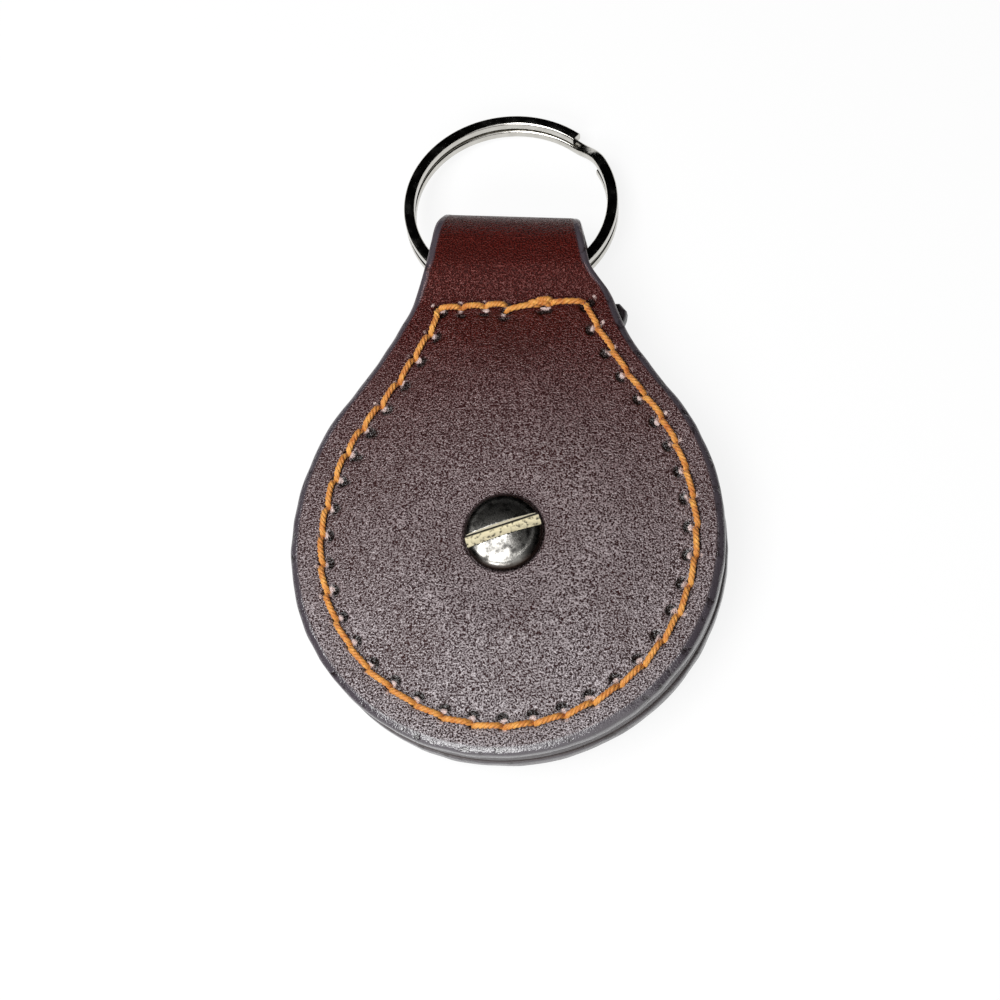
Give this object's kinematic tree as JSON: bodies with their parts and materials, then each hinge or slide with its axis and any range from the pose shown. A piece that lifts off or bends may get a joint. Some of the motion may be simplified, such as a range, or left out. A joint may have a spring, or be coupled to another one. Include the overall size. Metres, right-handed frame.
{
  "type": "leather key ring",
  "caption": "Round padded leather key fob, stitched along its edge and fastened with a slotted screw and post, with a split ring that swings in the folded loop.",
  "frame": {"origin": "on the screw's axis, in the flat face of the post's head on the back of the fob", "axes": "+Z out of the fob's front along the screw, +Y along the fob towards its ring, +X to the fob's right"},
  "size_m": [0.0484, 0.0796, 0.0101],
  "materials": {
    "leather": "fine grain, satin, with burnished edges",
    "thread": "waxed twisted thread",
    "padding": "felt",
    "nickel": "polished nickel plate"
  },
  "bodies": {
    "fob": {"leather_strap": "leather", "leather_filler": "leather", "padding_disc": "padding", "needle_thread": "thread", "bobbin_thread": "thread"},
    "ring": {"split_ring": "nickel"},
    "screw": {"slotted_screw": "nickel"},
    "post": {"screw_post": "nickel"}
  },
  "joints": [
    {"name": "ring_swing", "type": "hinge", "parent": "fob", "child": "ring", "pos_m": [0, 0.03249, 0.00491], "axis": [1, 0, 0], "range_deg": [-28, 52]},
    {"name": "screw_turn", "type": "hinge", "parent": "fob", "child": "screw", "pos_m": [0, 0, 0.0085], "axis": [0, 0, 1], "range_deg": [0, 2160]},
    {"name": "post_slide", "type": "slide", "parent": "fob", "child": "post", "axis": [0, 0, -1], "range_m": [0, 0.0042]}
  ],
  "couplings": [
    {"joint": "screw_turn", "follows": "post_slide", "rad_per_m": 8976}
  ]
}
